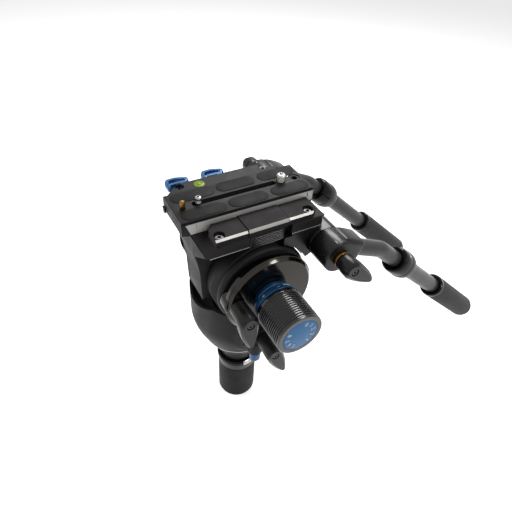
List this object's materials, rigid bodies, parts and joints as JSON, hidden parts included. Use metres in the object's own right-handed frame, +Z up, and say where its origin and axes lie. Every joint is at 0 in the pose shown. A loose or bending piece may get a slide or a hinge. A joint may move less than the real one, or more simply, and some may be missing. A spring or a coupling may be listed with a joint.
{
  "type": "fluid video head",
  "caption": "Fluid head with a half-ball base, tie-down grip, pan cup, tilt drum, sliding dovetail camera plate, grooved side knob and a bent telescopic bar on each side.",
  "frame": {"origin": "on the pan axis, level with the underside of the base flange that sits on the tripod bowl's rim", "axes": "+Z up the pan axis, -Y towards the lens end, +Y towards the pan bars, +X towards the side with the knob"},
  "size_m": [0.2319, 0.4426, 0.3456],
  "materials": {
    "grey_casting": "fine powder coat, dark warm grey",
    "black_casting": "satin black anodised",
    "gloss_disc": "polished black anodised",
    "black_tube": "satin black anodised tube",
    "black_plastic": "moulded black plastic",
    "rubber": "ribbed soft rubber",
    "steel": "bright turned steel",
    "bare_aluminium": "milled bright aluminium",
    "blue_anodised": "satin blue anodised",
    "blue_cap": "pale blue cap with plain numbers",
    "brass": "turned brass",
    "level_vial": "clear yellow-green vial"
  },
  "bodies": {
    "base": {"base_half_ball": "grey_casting", "tie_down_stud": "steel", "pan_axle": "steel", "pan_axle_nut": "steel"},
    "clamp_washer": {"clamp_washer": "black_plastic"},
    "tie_down": {"tie_down_collar": "bare_aluminium", "tie_down_grip": "rubber"},
    "pan_head": {"pan_housing": "grey_casting", "pan_drag_cartridge": "black_casting", "near_bearing_cover": "grey_casting", "near_side_cover": "gloss_disc", "far_bearing_cover": "grey_casting", "far_side_cap": "black_casting", "tilt_axle": "steel", "tilt_drag_cartridge": "black_casting", "counterbalance_spring": "steel"},
    "pan_lock": {"pan_lock_lever": "black_casting", "pan_lock_stud": "steel"},
    "tilt_lock": {"tilt_lock_lever": "black_casting", "tilt_lock_stud": "steel"},
    "pan_drag": {"pan_drag_dial": "blue_anodised"},
    "tilt_drag": {"tilt_drag_ring": "blue_anodised"},
    "counterbalance": {"counterbalance_knob": "black_plastic", "knob_cap": "blue_cap", "knob_shaft": "steel"},
    "tilt_head": {"tilt_housing": "grey_casting", "near_jaw_front": "grey_casting", "near_jaw_rear": "grey_casting", "far_jaw": "grey_casting", "cross_bar": "black_casting", "bubble_level": "level_vial", "front_lever_pin": "steel", "rear_lever_pin": "steel"},
    "centre_jaw": {"near_jaw_centre": "grey_casting"},
    "button": {"release_button": "black_plastic"},
    "front_lever": {"front_release_lever": "blue_anodised"},
    "rear_lever": {"rear_release_lever": "blue_anodised"},
    "plate": {"camera_plate": "grey_casting", "anti_twist_pin": "brass", "plate_stop": "black_casting"},
    "quarter_screw": {"quarter_screw": "steel"},
    "three_eighths_screw": {"three_eighths_screw": "steel"},
    "near_bar": {"near_bar_clamp": "black_casting", "near_bent_tube": "black_tube", "near_clamp_collar": "brass"},
    "near_clamp": {"near_clamp_lever": "black_casting", "near_clamp_stud": "steel"},
    "near_extension": {"near_extension_tube": "black_tube", "near_bar_grip": "rubber"},
    "near_collar": {"near_bar_collar": "grey_casting"},
    "far_bar": {"far_bar_clamp": "black_casting", "far_bent_tube": "black_tube", "far_clamp_collar": "brass"},
    "far_clamp": {"far_clamp_lever": "black_casting", "far_clamp_stud": "steel"},
    "far_extension": {"far_extension_tube": "black_tube", "far_bar_grip": "rubber"},
    "far_collar": {"far_bar_collar": "grey_casting"}
  },
  "joints": [
    {"name": "tie_down_travel", "type": "slide", "parent": "base", "child": "clamp_washer", "axis": [0, 0, 1], "range_m": [-0.007, 0]},
    {"name": "tie_down_turn", "type": "hinge", "parent": "clamp_washer", "child": "tie_down", "pos_m": [0, 0, -0.09], "axis": [0, 0, 1], "range_deg": [-1440, 0]},
    {"name": "pan", "type": "hinge", "parent": "base", "child": "pan_head", "pos_m": [0, 0, 0], "axis": [0, 0, 1], "continuous": true},
    {"name": "tilt", "type": "hinge", "parent": "pan_head", "child": "tilt_head", "pos_m": [0, 0.003, 0.117], "axis": [1, 0, 0], "range_deg": [-50, 60]},
    {"name": "pan_lock_turn", "type": "hinge", "parent": "pan_head", "child": "pan_lock", "pos_m": [0.06, 0.003, 0.0386], "axis": [1, 0, 0], "range_deg": [-90, 90]},
    {"name": "tilt_lock_turn", "type": "hinge", "parent": "pan_head", "child": "tilt_lock", "pos_m": [0.07, -0.0355, 0.12], "axis": [1, 0, 0], "range_deg": [-120, 20]},
    {"name": "pan_drag_turn", "type": "hinge", "parent": "pan_head", "child": "pan_drag", "pos_m": [0.0466, 0, -0.005], "axis": [0, 0, 1], "continuous": true},
    {"name": "tilt_drag_turn", "type": "hinge", "parent": "pan_head", "child": "tilt_drag", "pos_m": [0.074, 0.003, 0.117], "axis": [1, 0, 0], "continuous": true},
    {"name": "counterbalance_turn", "type": "hinge", "parent": "pan_head", "child": "counterbalance", "pos_m": [0.1, 0.003, 0.117], "axis": [1, 0, 0], "continuous": true},
    {"name": "plate_slide", "type": "slide", "parent": "tilt_head", "child": "plate", "axis": [0, 1, 0], "range_m": [-0.03, 0.04]},
    {"name": "quarter_screw_slide", "type": "slide", "parent": "plate", "child": "quarter_screw", "axis": [0, 1, 0], "range_m": [0, 0.068]},
    {"name": "three_eighths_turn", "type": "hinge", "parent": "plate", "child": "three_eighths_screw", "pos_m": [0.0006, 0.045, 0.2], "axis": [0, 0, 1], "continuous": true},
    {"name": "button_press", "type": "slide", "parent": "tilt_head", "child": "button", "axis": [-1, 0, 0], "range_m": [0, 0.003], "stiffness_N_per_m": 500, "springref_m": -0.002},
    {"name": "centre_jaw_slide", "type": "slide", "parent": "tilt_head", "child": "centre_jaw", "axis": [1, 0, 0], "range_m": [0, 0.0024]},
    {"name": "front_lever_swing", "type": "hinge", "parent": "tilt_head", "child": "front_lever", "pos_m": [-0.045, -0.0385, 0.1935], "axis": [0, 0, 1], "range_deg": [-35, 0]},
    {"name": "rear_lever_swing", "type": "hinge", "parent": "tilt_head", "child": "rear_lever", "pos_m": [-0.045, 0.0025, 0.1935], "axis": [0, 0, 1], "range_deg": [-35, 0]},
    {"name": "near_bar_swing", "type": "hinge", "parent": "tilt_head", "child": "near_bar", "pos_m": [0.072, 0.067, 0.161], "axis": [1, 0, 0], "range_deg": [-20, 80]},
    {"name": "near_clamp_turn", "type": "hinge", "parent": "near_bar", "child": "near_clamp", "pos_m": [0.072, 0.067, 0.161], "axis": [1, 0, 0], "continuous": true},
    {"name": "near_bar_slide", "type": "slide", "parent": "near_bar", "child": "near_extension", "axis": [0, 0.7373, -0.6756], "range_m": [-0.025, 0.06]},
    {"name": "near_collar_twist", "type": "hinge", "parent": "near_extension", "child": "near_collar", "pos_m": [0.072, 0.13551, 0.13553], "axis": [0, 0.7373, -0.6756], "range_deg": [0, 90]},
    {"name": "far_bar_swing", "type": "hinge", "parent": "tilt_head", "child": "far_bar", "pos_m": [-0.072, 0.067, 0.161], "axis": [1, 0, 0], "range_deg": [-20, 80]},
    {"name": "far_clamp_turn", "type": "hinge", "parent": "far_bar", "child": "far_clamp", "pos_m": [-0.072, 0.067, 0.161], "axis": [1, 0, 0], "continuous": true},
    {"name": "far_bar_slide", "type": "slide", "parent": "far_bar", "child": "far_extension", "axis": [0, 0.7373, -0.6756], "range_m": [-0.006, 0.079]},
    {"name": "far_collar_twist", "type": "hinge", "parent": "far_extension", "child": "far_collar", "pos_m": [-0.072, 0.13551, 0.13553], "axis": [0, 0.7373, -0.6756], "range_deg": [0, 90]}
  ],
  "couplings": [
    {"joint": "tie_down_travel", "follows": "tie_down_turn", "m_per_rad": 0.00027852},
    {"joint": "centre_jaw_slide", "follows": "button_press", "ratio": 0.8}
  ]
}
